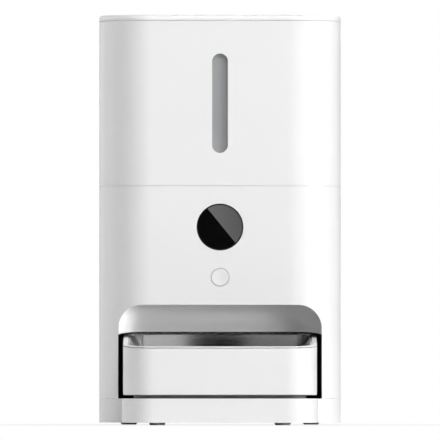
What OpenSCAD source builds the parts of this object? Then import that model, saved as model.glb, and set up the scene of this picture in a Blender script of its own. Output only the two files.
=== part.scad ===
// Automatic pet feeder: a lift-off food tank over a motor-driven paddle wheel, and a bowl tray
// that pulls out of a bay in the front. The front faces -Y, +X is to the right seen from the
// front, and Z = 0 is the surface it stands on. X = 0 and Y = 0 are the middle of its footprint.

/* [Body] */
// Width of the body beside the bay, on each side
side_w = 15; // [14:0.5:18]
// Depth of the body from its front face to its back
body_d = 222; // [214:1:236]
// Corner radius of the body in plan
corner_r = 40; // [36:1:44]
// Wall thickness of the outer shells
wall = 2.8; // [2.4:0.1:3.2]
// Height of the seam between base and housing
base_top = 20.4; // [19:0.2:22]
// Height of the seam between housing and food tank
housing_top = 184; // [184:1:196]
// Height of the seam between food tank and lid
tank_top = 311; // [306:1:330]
// Width of the visible seams
seam = 0.4; // [0.3:0.1:0.6]

/* [Base] */
// How far the base stands out in front of the body, under the bowl tray
nose_d = 78; // [74:1:84]
// How far the nose stands out past the tray, on each side
nose_lip = 1; // [0.8:0.1:3]
// Corner radius of the nose in plan
nose_r = 24; // [18:1:28]
// Thickness of the deck under the bay and of the bottom plate
deck_t = 2.4; // [2:0.1:3]
// Radius of a rubber foot
foot_r = 6.1; // [5:0.1:7]
// Height that the feet lift the base
foot_h = 1.9; // [1.5:0.1:3]

/* [Bay] */
// Gap between the tray and the bay, at the sides and the back
tray_gap = 3.8; // [3:0.1:4.8]
// Height of the top of the bay's arch in the front face
bay_top = 92.5; // [91:0.5:96]
// Radius that rounds the arch and every inner edge of the hood
cove_r = 18.4; // [15:0.2:20]
// Depth of the hood behind the front face
cove_d = 26; // [24:0.5:28]
// Height of the hood's lower edge at its back
hood_low = 71.7; // [71.7:0.1:73]
// Slope of the hood's lower edge, in degrees
hood_slope = 8.5; // [7:0.1:9]
// Height of the bay's ceiling behind the hood
bay_ceiling = 84; // [82:0.5:86]
// Thickness of the hood and of the bay's lining
lining_t = 2; // [1.6:0.1:2.4]

/* [Bowl tray] */
// Width of the tray
tray_w = 148.4; // [146:0.2:149]
// Length of the tray from front to back
tray_l = 146; // [140:1:150]
// Corner radius of the tray in plan
tray_r = 23; // [20:0.5:26]
// Wall thickness of the tray
tray_wall = 2.2; // [1.8:0.1:2.4]
// Height of the rim at the front
rim_front = 60.5; // [57:0.5:62]
// Height of the rim at the back
rim_back = 71.3; // [68:0.1:71.3]
// Width of the rim that shows round the steel bowl
rim_w = 3.5; // [3.2:0.1:4]
// Width of the steel bowl's lip
lip_w = 2; // [1.6:0.1:2.4]
// Thickness of the steel
steel_t = 0.8; // [0.6:0.1:1]
// Height of the steel bowl's underside
bowl_low = 30; // [29:0.5:33]
// Width of the raised pedestal that the tray stands on
pedestal_w = 132; // [124:1:138]
// Height of the pedestal above the base
pedestal_h = 2.4; // [2:0.1:3]
// Width of the guide rail on the pedestal
rail_w = 12; // [8:0.5:16]

/* [Front] */
// Radius of the round window
window_r = 18; // [16:0.5:20]
// Height of the round window's centre
window_z = 152.2; // [148:0.2:156]
// Radius of the feed button
button_r = 6.75; // [6:0.05:7.5]
// Height of the feed button's centre
button_z = 113.6; // [112:0.2:118]
// Travel of the feed button
button_travel = 1.2; // [0.8:0.1:1.4]
// Width of the level slot in the tank
slot_w = 12.1; // [10:0.1:14]
// Length of the level slot
slot_l = 76.5; // [60:0.5:84]
// Height of the level slot's centre
slot_z = 247.4; // [246:0.2:254]

/* [Dispenser] */
// Height of the paddle wheel's axis
wheel_z = 144; // [143:0.5:145]
// Distance of the paddle wheel's axis behind the middle of the footprint
wheel_y = 14; // [13:0.5:16]
// Inside radius of the dispenser barrel
barrel_r = 32; // [30:0.5:32.5]
// Inside length of the barrel
barrel_l = 56; // [52:0.5:58]
// Wall thickness of the barrel
barrel_t = 2.4; // [2:0.1:2.8]
// Radial gap between paddles and barrel
paddle_gap = 0.5; // [0.4:0.1:1]
// Number of paddles
paddles = 6; // [5:1:8]
// Thickness of a paddle
paddle_t = 2.2; // [1.6:0.1:3]
// Radius of the wheel's shaft
shaft_r = 4; // [3:0.1:5]
// Radial running clearance of shafts
running = 0.05; // [0.02:0.01:0.08]

/* [Gear train] */
// Gear module
gear_module = 1.25; // [1.25:0.05:1.3]
// Teeth of the wheel's gear
gear_teeth = 32; // [28:2:34]
// Teeth of the motor's pinion
pinion_teeth = 16; // [14:2:18]
// Width of both gears
gear_w = 6; // [5:0.5:7]
// Pressure angle in degrees
pressure_angle = 20; // [20:1:25]
// Thinning of each tooth for backlash
backlash = 0.12; // [0.08:0.02:0.2]

/* [Lid] */
// Thickness of the lid
lid_t = 4.2; // [3.6:0.2:5]
// Radius of the lid's top edge
lid_edge_r = 2.8; // [2:0.2:3.2]
// Depth of the lid's plug in the tank
plug_h = 9; // [8:0.5:12]
// Outer radius of the desiccant cup
cup_r = 31; // [26:0.5:36]
// Depth of the desiccant cup
cup_h = 11; // [10:0.5:14]

/* [Back] */
// Width of the battery bay
battery_w = 62; // [60:1:66]
// Height of the battery bay
battery_h = 32; // [30:1:36]
// Depth of the battery bay
battery_d = 31; // [30:1:36]
// Sideways place of the battery bay's centre
battery_x = -17; // [-20:1:-14]
// Height of the battery bay's centre
battery_z = 55; // [50:1:60]
// Sideways place of the power inlet
inlet_x = 36; // [34:1:42]

/* [Hidden] */
$fn = 96;

clear = 0.3;              // gap between pieces that move past each other
far = 400;                // longer than anything here
slack = 0.01;             // lets a cut run through the face it starts from

bay_w = tray_w + 2 * tray_gap;
body_w = bay_w + 2 * side_w;
nose_w = tray_w + 2 * nose_lip;
y_front = -(body_d + nose_d) / 2;
y_face = y_front + nose_d;
y_back = y_face + body_d;
y_mid = (y_face + y_back) / 2;
y_wall = y_face + wall;   // inner side of the front wall
y_rear = y_back - wall;   // inner side of the back wall
z_plate = foot_h + deck_t;

// bay and tray
y_cove = y_face + cove_d;
// depth of the arch's cut, through the wall where the body's corner curves away
arch_d = corner_r + slack - sqrt(pow(corner_r - wall, 2) - pow(corner_r - side_w, 2));
tray_set = 1.2;           // how far the tray stands back from the nose
y_tray = y_front + tray_set;
y_bay = y_tray + tray_l + tray_gap;
z_pedestal = base_top + pedestal_h;
z_tray = z_pedestal + clear;
tray_floor = 4;
rim_slope = atan((rim_back - rim_front) / tray_l);
rim_t = 0.9;
rim_gap = 0.6;
skirt_h = 5;
lip_step = 0.4;
ledge_t = 1.2;
rail_h = 1.6;

// screws
screw_r = 1.5;
screw_head_r = 3;
screw_head_h = 2;
post_r = 4;
post_in = wall + post_r - clear;    // how far a post stands in from the outside
z_post = z_plate + 2.2;
corner_step = (corner_r - post_in) * sin(45);
screw_back = 57;          // how far the front pair stands behind the front face
screw_at = [
    [body_w / 2 - post_in, y_face + screw_back],
    [body_w / 2 - corner_r + corner_step, y_back - corner_r + corner_step]
];
screw_reach = 12;         // how far the screws go up into the housing
screw_top = base_top + screw_reach;
foot_set = 27.2;            // how far the feet stand in from the edges beside and behind them
feet_at = [[nose_w / 2 - foot_set, y_front + 16], [body_w / 2 - 22, y_back - foot_set]];
foot_sink = 0.8;
tongue_h = 3;
tongue_t = 1.6;
ledge_w = 3;

// control board on the left wall
boss_l = 8;
boss_r = 2.6;
board_w = 82;
board_h = 62;
board_edge = 6;           // from the board's edge to the middle of a boss
board_x = -body_w / 2 + wall + boss_l;
board_low = [y_mid - 38, base_top + 78];
board_y = [board_low[0] + board_edge, board_low[0] + board_w - board_edge];
board_z = [board_low[1] + board_edge, board_low[1] + board_h - board_edge];

// front pieces
sleeve_l = 9;
button_gap = 0.45;
button_flange_r = 8.6;
button_flange_t = 1.5;
board_t = 1.6;
switch_h = 3.5;
y_board = y_wall + sleeve_l;
bezel_t = 0.8;
lens_t = 2;
lens_set = 0.2;
inlet_r = 5.5;
inlet_bore_r = 2.9;
box_t = 1.6;

// dispenser
tip_z = sqrt(pow(barrel_r - paddle_gap, 2) - pow(paddle_t / 2, 2));
neck_t = 2.2;
collar_gap = 0.6;
collar_t = 2.4;
ledge_h = 2;
z_deck = wheel_z + barrel_r + ledge_h;
z_neck = wheel_z + barrel_r + 1;
z_collar = z_deck + deck_t + 1.6;
outlet_l = 36;
outlet_ahead = 30;        // how much of the outlet lies in front of the axis
outlet_front = wheel_y - outlet_ahead;
outlet_back = outlet_front + outlet_l;
z_outlet = wheel_z - barrel_r - barrel_t - 3.6;
side_x = barrel_l / 2;
collar_r = side_x + barrel_t;       // flush with the barrel's ends
neck_r = collar_r - collar_t - collar_gap;
chute_t = 2;
spout_l = 25;
spout_set = 9;            // from the hood's back to the spout
spout_h = 3;              // how far the spout reaches down into the bay
spout_front = y_cove + lining_t + spout_set;
spout_back = spout_front + spout_l;
z_spout = bay_ceiling - spout_h;
bush_r = shaft_r + 2.5;
hub_r = 9;

// gears
gear_gap = 0.75;
case_w = 14;
case_t = 2;
gearbox_l = 10;
motor_l = 26;
motor_nose_r = 4;
x_case = side_x + barrel_t;
x_gear = x_case + 2.6;
pitch_distance = gear_module * (gear_teeth + pinion_teeth) / 2;
gear_tip_r = gear_module * (gear_teeth + 2) / 2;
pinion_tip_r = gear_module * (pinion_teeth + 2) / 2;
motor_r = 12;
motor_shaft_r = 2;
pinion_y = wheel_y + pitch_distance;

// tank
tank_low = housing_top + seam / 2;
tank_high = tank_top - seam / 2;
funnel_rise = 20;         // from the seam to the funnel's edge at the front
funnel_drop = 34;         // how much higher the funnel's edge is at the back
funnel_front = housing_top + funnel_rise;
funnel_back = funnel_front + funnel_drop;
funnel_slope = atan((funnel_back - funnel_front) / (y_rear - y_wall));
funnel_t = 2;
z_funnel = housing_top + 4;
pane_t = 1.8;
pane_grow = 3;            // how far the level window reaches past its slot
skirt_gap = 0.5;
skirt_t = 2.1;
skirt_top = tank_low + 6;

// lid
lid_low = tank_top + seam / 2;
plug_gap = 1.6;
plug_t = 2;
lug_h = 1.8;
lug_t = 2;
lug_w = 8;
lug_drop = 5;             // from the lid down to the lugs' undersides
lug_turn = 30;            // turn that frees the cup
seal_low = lid_low - plug_h + 1.6;
seal_high = lid_low - 2.2;
cup_t = 1.6;

// ---------- shared shapes ----------

// rounded rectangle about the origin
module plan(w, d, r) {
    square([w - 2 * r, d], center = true);
    square([w, d - 2 * r], center = true);
    for (x = [-1, 1], y = [-1, 1])
        translate([x * (w / 2 - r), y * (d / 2 - r)]) circle(r = r);
}

// the body's outline, moved in by inset
module body_plan(inset = 0) {
    translate([0, y_mid]) plan(body_w - 2 * inset, body_d - 2 * inset, corner_r - inset);
}

// the nose's outline, which runs back into the body's
module nose_plan(inset = 0) {
    reach = nose_d + 60;
    translate([0, y_front + reach / 2])
        plan(nose_w - 2 * inset, reach - 2 * inset, nose_r - inset);
}

module body_ring(z0, z1, outer, inner) {
    translate([0, 0, z0]) linear_extrude(z1 - z0) difference() {
        body_plan(outer);
        body_plan(inner);
    }
}

// the tray's outline, moved in by inset
module tray_plan(inset = 0) {
    translate([0, y_tray + tray_l / 2])
        plan(tray_w - 2 * inset, tray_l - 2 * inset, tray_r - inset);
}

// everything under a plane through (y, z) that rises towards the back
module below(y, z, slope) {
    translate([0, y, z]) rotate([slope, 0, 0])
        translate([-far, -far, -far]) cube([2 * far, 2 * far, far]);
}

// a ring of the tray's outline between two heights, measured from the sloping rim
module rim_ring(outer, inner, drop0, drop1) {
    difference() {
        intersection() {
            translate([0, 0, z_tray]) linear_extrude(far) difference() {
                tray_plan(outer);
                tray_plan(inner);
            }
            below(y_tray, rim_front - drop1, rim_slope);
        }
        below(y_tray, rim_front - drop0, rim_slope);
    }
}

// a box about the origin with every edge rounded by the same radius
module round_box(w, d, h, r) {
    for (x = [-1, 1], y = [-1, 1], z = [-1, 1])
        translate([x * (w / 2 - r), y * (d / 2 - r), z * (h / 2 - r)]) sphere(r);
    for (x = [-1, 1], y = [-1, 1])
        translate([x * (w / 2 - r), y * (d / 2 - r), 0])
            cylinder(r = r, h = h - 2 * r, center = true);
    for (x = [-1, 1], z = [-1, 1])
        translate([x * (w / 2 - r), 0, z * (h / 2 - r)]) rotate([90, 0, 0])
            cylinder(r = r, h = d - 2 * r, center = true);
    for (y = [-1, 1], z = [-1, 1])
        translate([0, y * (d / 2 - r), z * (h / 2 - r)]) rotate([0, 90, 0])
            cylinder(r = r, h = w - 2 * r, center = true);
    cube([w, d - 2 * r, h - 2 * r], center = true);
    cube([w - 2 * r, d, h - 2 * r], center = true);
    cube([w - 2 * r, d - 2 * r, h], center = true);
}

// a cylinder along X from x0 to x1 about the point (y, z)
module rod_x(r, x0, x1, y, z) {
    translate([x0, y, z]) rotate([0, 90, 0]) cylinder(r = r, h = x1 - x0);
}

// a cylinder along Y from y0 to y1 about the point (x, z)
module rod_y(r, y0, y1, x, z) {
    translate([x, y1, z]) rotate([90, 0, 0]) cylinder(r = r, h = y1 - y0);
}

module block(low, high) { translate(low) cube(high - low); }

// children at each screw, on both sides
module at_pairs(points) {
    for (p = points, side = [-1, 1]) translate([side * p[0], p[1], 0]) children();
}

// ---------- base ----------

module base_shell() {
    color("white") difference() {
        union() {
            difference() {
                translate([0, 0, foot_h]) linear_extrude(base_top - foot_h) {
                    body_plan();
                    nose_plan();
                }
                // the seam round the body
                translate([0, 0, base_top - seam / 2]) linear_extrude(seam) difference() {
                    body_plan(-1);
                    body_plan(wall);
                    translate([-bay_w / 2, y_front - 1]) square([bay_w, body_d / 2]);
                }
                // open underneath, up to the deck
                translate([0, 0, foot_h - 1]) linear_extrude(base_top - deck_t - foot_h + 1) {
                    body_plan(wall);
                    nose_plan(wall);
                }
                // open behind the bay
                translate([0, 0, base_top - deck_t - 1]) linear_extrude(deck_t + 2)
                    intersection() {
                        body_plan(wall);
                        translate([-far, y_bay + lining_t]) square([2 * far, far]);
                    }
            }
            // tongue that stands inside the housing
            difference() {
                body_ring(base_top - tongue_h, base_top + tongue_h, wall, wall + tongue_t);
                block([-bay_w / 2 - lining_t, y_front, 0],
                      [bay_w / 2 + lining_t, y_bay, far]);
                at_pairs(screw_at) cylinder(r = post_r + clear, h = far);
            }
            // screw posts
            at_pairs(screw_at) translate([0, 0, z_post])
                cylinder(r = post_r, h = base_top - z_post);
        }
        at_pairs(screw_at) cylinder(r = screw_r, h = far);
    }
}

module base_plate() {
    color("whitesmoke") difference() {
        union() {
            translate([0, 0, foot_h]) linear_extrude(deck_t) {
                body_plan(wall);
                nose_plan(wall);
            }
            intersection() {
                at_pairs(screw_at) translate([0, 0, foot_h + slack])
                    cylinder(r = post_r, h = z_post - foot_h - slack);
                linear_extrude(far) body_plan(wall);
            }
            at_pairs(feet_at) translate([0, 0, foot_h + slack])
                cylinder(r = foot_r + 1.5, h = deck_t + foot_sink);
        }
        at_pairs(screw_at) {
            cylinder(r = screw_r, h = far);
            cylinder(r = screw_head_r, h = foot_h + screw_head_h);
        }
        at_pairs(feet_at) cylinder(r = foot_r, h = foot_h + foot_sink);
    }
}

module rubber_feet() {
    color("silver") at_pairs(feet_at) cylinder(r = foot_r, h = foot_h + foot_sink);
}

module base_screws() {
    color("gray") at_pairs(screw_at) translate([0, 0, foot_h]) {
        cylinder(r = screw_r, h = screw_top - foot_h);
        difference() {
            cylinder(r = screw_head_r, h = screw_head_h);
            translate([0, 0, -slack]) {
                cube([3.2, 0.8, 1.6], center = true);
                cube([0.8, 3.2, 1.6], center = true);
            }
        }
    }
}

// ---------- housing ----------

// the bay's arch, seen from the front
module arch() {
    translate([0, y_face + arch_d, 0]) rotate([90, 0, 0])
        linear_extrude(2 * arch_d) intersection() {
            translate([0, bay_top - 60]) plan(bay_w, 120, cove_r);
            translate([-far, 0]) square([2 * far, far]);
        }
}

module main_housing() {
    color("white") difference() {
        union() {
            difference() {
                body_ring(base_top + seam / 2, housing_top - seam / 2, 0, wall);
                arch();
            }
            // ledge that carries the deck
            body_ring(z_deck - ledge_h, z_deck, wall - slack, wall + ledge_w);
            // screw pillars
            difference() {
                at_pairs(screw_at) translate([0, 0, base_top])
                    cylinder(r = post_r, h = screw_reach + 2);
                translate([0, 0, base_top - 1]) linear_extrude(1 + seam / 2) difference() {
                    body_plan(-1);
                    body_plan(wall);
                }
            }
            // sleeves behind the window and the button
            rod_y(window_r + 2.4, y_wall - slack, y_board, 0, window_z);
            rod_y(button_flange_r + 2.4, y_wall - slack, y_board, 0, button_z);
            // bosses for the control board
            for (y = board_y, z = board_z)
                rod_x(boss_r, -body_w / 2 + wall - slack, board_x, y, z);
        }
        at_pairs(screw_at) cylinder(r = screw_r, h = screw_top);
        rod_y(window_r, y_face - 1, y_board + 1, 0, window_z);
        rod_y(button_r + button_gap, y_face - 1, y_wall + 1, 0, button_z);
        rod_y(button_flange_r + clear, y_wall, y_board + 1, 0, button_z);
        // battery door and power inlet in the back
        block([battery_x - battery_w / 2, y_rear - 1, battery_z - battery_h / 2],
              [battery_x + battery_w / 2, y_back + 1, battery_z + battery_h / 2]);
        rod_y(inlet_r, y_rear - 1, y_back + 1, inlet_x, battery_z);
        rod_y(inlet_r + 3, y_back - 1, y_back + 1, inlet_x, battery_z);
    }
}

// the hood over the bay: a hollow cove with the same rounding on every inner edge
module cove(grow) {
    span = 100;
    size = span + 2 * grow;
    translate([0, y_cove + grow - size / 2, bay_top + grow - size / 2])
        round_box(bay_w + 2 * grow, size, size, cove_r + grow);
}

module bay_hood() {
    color("white") difference() {
        intersection() {
            cove(lining_t);
            linear_extrude(far) body_plan(wall);
        }
        cove(0);
        below(y_cove, hood_low, hood_slope);
    }
}

module bay_liner() {
    half = bay_w / 2;
    color("dimgray") difference() {
        intersection() {
            block([-half - lining_t, y_face, base_top],
                  [half + lining_t, y_bay + lining_t, bay_ceiling + lining_t]);
            linear_extrude(far) body_plan(wall);
        }
        block([-half, y_face - 1, base_top - 1], [half, y_bay, bay_ceiling]);
        // room for the hood
        difference() {
            cove(lining_t);
            below(y_cove, hood_low, hood_slope);
        }
        chute_block(chute_t, 1);
    }
}

// what the chute takes out of the bay's ceiling
module chute_block(grow, up) {
    block([-side_x - grow, spout_front - grow, bay_ceiling - 1],
          [side_x + grow, spout_back + grow, bay_ceiling + lining_t + up]);
}

module bowl_pedestal() {
    margin = 10;
    length = y_bay - y_front - 2 * margin;
    color("gray") translate([0, y_front + margin + length / 2, base_top]) {
        linear_extrude(pedestal_h) plan(pedestal_w, length, margin + 2);
        translate([-rail_w / 2, -length / 2 + margin, 0])
            cube([rail_w, length - margin, pedestal_h + rail_h]);
    }
}

module tank_deck() {
    color("gainsboro") difference() {
        translate([0, 0, z_deck]) linear_extrude(deck_t) body_plan(wall + seam);
        translate([0, wheel_y, 0]) cylinder(r = collar_r, h = far);
    }
}

// ---------- dispenser ----------

module dispenser_barrel() {
    color("lightgray") difference() {
        union() {
            rod_x(barrel_r + barrel_t, -x_case, x_case, wheel_y, wheel_z);
            translate([0, wheel_y, wheel_z]) cylinder(r = collar_r, h = z_collar - wheel_z);
            block([-x_case, outlet_front - barrel_t, z_outlet],
                  [x_case, outlet_back + barrel_t, wheel_z]);
            // side plate that carries the gear case
            case_outline(side_x, x_case, gear_gap + case_t);
        }
        rod_x(barrel_r, -side_x, side_x, wheel_y, wheel_z);
        translate([0, wheel_y, wheel_z]) cylinder(r = neck_r + collar_gap, h = far);
        block([-side_x, outlet_front, z_outlet - 1], [side_x, outlet_back, wheel_z]);
        rod_x(bush_r, -far, far, wheel_y, wheel_z);
    }
}

module shaft_bushes() {
    color("goldenrod") for (x = [-x_case, side_x]) difference() {
        rod_x(bush_r, x, x + barrel_t, wheel_y, wheel_z);
        rod_x(shaft_r + running, x - 1, x + barrel_t + 1, wheel_y, wheel_z);
    }
}

// side view of the chute between the barrel's outlet and the bay's ceiling
module chute_side(grow, over) {
    polygon([
        [outlet_front - grow, z_outlet + over], [outlet_back + grow, z_outlet + over],
        [outlet_back + grow, z_outlet - 2],
        [spout_back + grow, bay_ceiling + lining_t], [spout_back + grow, z_spout - over],
        [spout_front - grow, z_spout - over], [spout_front - grow, bay_ceiling + lining_t]
    ]);
}

module food_chute() {
    color("dimgray") rotate([90, 0, 90]) difference() {
        linear_extrude(2 * (side_x + chute_t), center = true) chute_side(chute_t, 0);
        linear_extrude(2 * side_x, center = true) chute_side(0, 1);
    }
}

// infrared pair that sees food fall through the chute
module chute_sensors() {
    y = (outlet_front + outlet_back) / 2 - 2;
    color("darkgreen") for (side = [-1, 1]) {
        x = side * (side_x + chute_t + board_t / 2);
        translate([x, y, z_outlet - 8]) cube([board_t, 14, 9], center = true);
        translate([x + side * board_t, y, z_outlet - 8]) cube([board_t, 6, 5], center = true);
    }
}

// ---------- gear train ----------

// outline round both gears, as a plate from x0 to x1
module case_outline(x0, x1, grow) {
    rod_x(gear_tip_r + grow, x0, x1, wheel_y, wheel_z);
    rod_x(pinion_tip_r + grow, x0, x1, pinion_y, wheel_z);
    block([x0, wheel_y, wheel_z - pinion_tip_r - grow], [x1, pinion_y, wheel_z + pinion_tip_r + grow]);
}

module gear_case() {
    color("gainsboro") difference() {
        case_outline(x_case, x_case + case_w, gear_gap + case_t);
        case_outline(x_case - 1, x_case + case_w - case_t, gear_gap);
        rod_x(motor_nose_r, x_case, x_case + case_w + 1, pinion_y, wheel_z);
    }
}

// one flank point of an involute on base radius rb, unrolled by t degrees
function involute(rb, t) = let (u = t * PI / 180)
    [rb * (cos(t) + u * sin(t)), rb * (sin(t) - u * cos(t))];
function turned(p, a) = [p[0] * cos(a) - p[1] * sin(a), p[0] * sin(a) + p[1] * cos(a)];
// how far the involute has unrolled where it reaches radius r, in degrees
function unroll(rb, r) = sqrt(max(0, r * r / (rb * rb) - 1)) * 180 / PI;

// one tooth's outline about +X, from root to tip and back
function tooth(teeth, rb, rp, root, tip, steps) =
    let (
        t_pitch = unroll(rb, rp),
        t_low = unroll(rb, max(rb, root)),
        t_tip = unroll(rb, tip),
        thin = backlash / rp * 180 / PI / 2,
        half = 90 / teeth - thin + t_pitch - atan(t_pitch * PI / 180),
        flank = [for (i = [0:steps])
            let (q = involute(rb, t_low + (t_tip - t_low) * i / steps))
            turned([q[0], q[1]], -half)],
        foot = turned([root, 0], atan2(flank[0][1], flank[0][0]))
    )
    concat([foot], flank, [for (i = [steps:-1:0]) [flank[i][0], -flank[i][1]]],
           [[foot[0], -foot[1]]]);

module gear(teeth, width, bore, turn) {
    rp = gear_module * teeth / 2;
    one = tooth(teeth, rp * cos(pressure_angle), rp, rp - 1.25 * gear_module,
                rp + gear_module, 4);
    difference() {
        linear_extrude(width)
            polygon([for (k = [0:teeth - 1], p = one) turned(p, turn + 360 * k / teeth)]);
        translate([0, 0, -1]) cylinder(r = bore, h = width + 2);
    }
}

module feed_motor() {
    nose = x_case + case_w;
    can = nose + gearbox_l;
    color("silver") difference() {
        union() {
            rod_x(motor_nose_r, x_case + case_w - case_t, nose, pinion_y, wheel_z);
            rod_x(motor_r + 1.5, nose, can, pinion_y, wheel_z);
            rod_x(motor_r, can, can + motor_l, pinion_y, wheel_z);
            rod_x(motor_r / 2, can + motor_l, can + motor_l + 1.5, pinion_y, wheel_z);
            for (side = [-1, 1])
                block([can + motor_l, pinion_y + side * 7 - 1.2, wheel_z - 0.3],
                      [can + motor_l + 5, pinion_y + side * 7 + 1.2, wheel_z + 0.3]);
        }
        rod_x(motor_shaft_r + running, nose - case_w, nose + gearbox_l - 1, pinion_y, wheel_z);
    }
}

// ---------- electronics ----------

module control_board() {
    color("darkgreen") translate([board_x, board_low[0], board_low[1]]) {
        cube([board_t, board_w, board_h]);
        // radio module, processor, capacitors and a row of connectors
        translate([board_t, board_w * 0.08, board_h * 0.52]) cube([2.4, 18, 24]);
        translate([board_t, board_w * 0.42, board_h * 0.58]) cube([1.6, 12, 12]);
        for (i = [0:2])
            rod_x(3.2, board_t, board_t + 9, board_w * (0.44 + 0.135 * i), board_h * 0.36);
        for (i = [0:3])
            translate([board_t, board_w * (0.08 + 0.21 * i), 2]) cube([6, 12, 6]);
    }
}

module window_bezel() {
    color("dimgray") difference() {
        rod_y(window_r, y_face, y_wall, 0, window_z);
        rod_y(window_r - bezel_t, y_face - 1, y_face + lens_t, 0, window_z);
        rod_y(window_r - 3, y_face - 1, y_wall + 1, 0, window_z);
    }
}

module front_window() {
    color("black") rod_y(window_r - bezel_t, y_face + lens_set, y_face + lens_t, 0, window_z);
}

module camera_module() {
    color("darkslategray") {
        rod_y(window_r + 2.4, y_board, y_board + board_t, 0, window_z);
        rod_y(7, y_wall + 2.5, y_board + slack, 0, window_z);
        rod_y(5, y_wall + 1, y_wall + 2.5 + slack, 0, window_z);
        // infrared lamps round the lens
        for (a = [45:90:315])
            rod_y(2, y_wall + 4, y_board + slack, 12 * cos(a), window_z + 12 * sin(a));
    }
}

module button_board() {
    r = button_flange_r + 2.4;
    color("darkgreen") {
        rod_y(r, y_board, y_board + board_t, 0, button_z);
        block([-3, y_board - switch_h, button_z - 3], [3, y_board + slack, button_z + 3]);
    }
}

module power_inlet() {
    color("dimgray") difference() {
        union() {
            rod_y(inlet_r, y_rear, y_back - 1, inlet_x, battery_z);
            block([inlet_x - 7, y_rear - 12, battery_z - 6], [inlet_x + 7, y_rear, battery_z + 6]);
        }
        difference() {
            rod_y(inlet_bore_r, y_rear - 7, y_back, inlet_x, battery_z);
            rod_y(1, y_rear - 8, y_back - 2, inlet_x, battery_z);
        }
    }
}

module battery_box() {
    w = battery_w / 2;
    h = battery_h / 2;
    color("lightgray") translate([battery_x, y_rear, battery_z]) difference() {
        block([-w - box_t, -battery_d - box_t, -h - box_t], [w + box_t, 0, h + box_t]);
        block([-w, -battery_d, -h], [w, 1, h]);
    }
}

// a plate and a spring for each of four cells
module battery_contacts() {
    pitch = battery_h / 4;
    color("gold") for (y = [-1, 1], z = [-1, 1])
        translate([battery_x, y_rear - battery_d / 2 + y * pitch, battery_z + z * pitch])
            for (side = [-1, 1]) {
                x = side * (battery_w / 2 - 0.3);
                translate([x, 0, 0]) cube([0.6, 10, 10], center = true);
                translate([side > 0 ? x - 3.2 : x, 0, 0]) rotate([0, 90, 0])
                    cylinder(r = side * y * z > 0 ? 3.2 : 1.8, h = 3.2);
            }
}

// ---------- feed button ----------

module feed_button() {
    y_flange = y_wall + clear;
    color("white") {
        rod_y(button_r, y_face, y_flange + slack, 0, button_z);
        rod_y(button_flange_r, y_flange, y_flange + button_flange_t, 0, button_z);
        rod_y(2.2, y_flange + button_flange_t - slack, y_board - switch_h - button_travel - clear,
              0, button_z);
    }
}

// ---------- paddle wheel ----------

module paddle_hub() {
    color("whitesmoke") {
        rod_x(hub_r, -side_x + clear, side_x - clear, wheel_y, wheel_z);
        rod_x(shaft_r, -x_case - 4, x_gear + gear_w + 2, wheel_y, wheel_z);
    }
}

module wheel_paddles() {
    length = barrel_l - 4 * clear;
    color("orange") difference() {
        union() {
            rod_x(hub_r + 1.5, -length / 2, length / 2, wheel_y, wheel_z);
            // a pocket faces up to the tank and another down to the chute
            for (k = [0:paddles - 1])
                translate([0, wheel_y, wheel_z]) rotate([360 * (k + 0.5) / paddles, 0, 0])
                    translate([-length / 2, -paddle_t / 2, 0]) cube([length, paddle_t, tip_z]);
        }
        rod_x(hub_r, -far, far, wheel_y, wheel_z);
    }
}

module drive_gear() {
    color("ivory") translate([x_gear, wheel_y, wheel_z]) rotate([90, 0, 90])
        gear(gear_teeth, gear_w, shaft_r, 0);
}

module motor_pinion() {
    color("gold") translate([x_gear, pinion_y, wheel_z]) rotate([90, 0, 90]) {
        // turned by half a tooth where the teeth meet
        gear(pinion_teeth, gear_w, motor_shaft_r - slack, 180 + 180 / pinion_teeth);
        translate([0, 0, -1])
            cylinder(r = motor_shaft_r, h = x_case + case_w + gearbox_l - 2 - x_gear);
    }
}

// ---------- bowl tray ----------

module bowl_tray() {
    color("white") difference() {
        intersection() {
            translate([0, 0, z_tray]) linear_extrude(far) tray_plan();
            below(y_tray, rim_front - rim_t - rim_gap, rim_slope);
        }
        translate([0, 0, z_tray + tray_floor]) linear_extrude(far) tray_plan(tray_wall);
        // groove for the guide rail, open at the back
        block([-rail_w / 2 - clear, y_front + 18, z_tray - 1],
              [rail_w / 2 + clear, y_bay, z_pedestal + rail_h + clear]);
    }
}

module tray_rim() {
    color("white") {
        rim_ring(0, rim_w, rim_t, 0);
        rim_ring(tray_wall, rim_w + slack, skirt_h, rim_t - slack);
        rim_ring(rim_w, rim_w + ledge_t, lip_step + steel_t + ledge_t, lip_step + steel_t);
    }
}

module bowl_form(inset, floor_z) {
    w = tray_w - 2 * inset;
    l = tray_l - 2 * inset;
    h = 120;
    translate([0, y_tray + tray_l / 2, floor_z + h / 2]) round_box(w, l, h, tray_r - inset);
}

module steel_bowl() {
    inset = rim_w + lip_w;
    color("silver") {
        difference() {
            intersection() {
                bowl_form(inset - steel_t, bowl_low);
                below(y_tray, rim_front - lip_step, rim_slope);
            }
            bowl_form(inset, bowl_low + steel_t);
        }
        rim_ring(rim_w, inset, lip_step + steel_t, lip_step);
    }
}

// ---------- food tank ----------

module tank_shell() {
    color("white") difference() {
        union() {
            body_ring(tank_low, tank_high, 0, wall);
            // skirt that stands inside the housing
            body_ring(housing_top - 3, skirt_top, wall + skirt_gap, wall + skirt_gap + skirt_t);
            body_ring(tank_low, skirt_top, wall - slack, wall + skirt_gap + slack);
        }
        translate([0, y_wall + 1, slot_z]) rotate([90, 0, 0]) linear_extrude(2 * wall) slot_plan(0);
    }
}

// upright slot with round ends
module slot_plan(grow) {
    straight = slot_l - slot_w;
    square([slot_w + 2 * grow, straight], center = true);
    for (side = [-1, 1]) translate([0, side * straight / 2]) circle(r = slot_w / 2 + grow);
}

module tank_window() {
    color("lightgray", 0.6) translate([0, y_wall, slot_z]) rotate([-90, 0, 0]) {
        linear_extrude(pane_t) slot_plan(pane_grow);
    }
}

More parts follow.
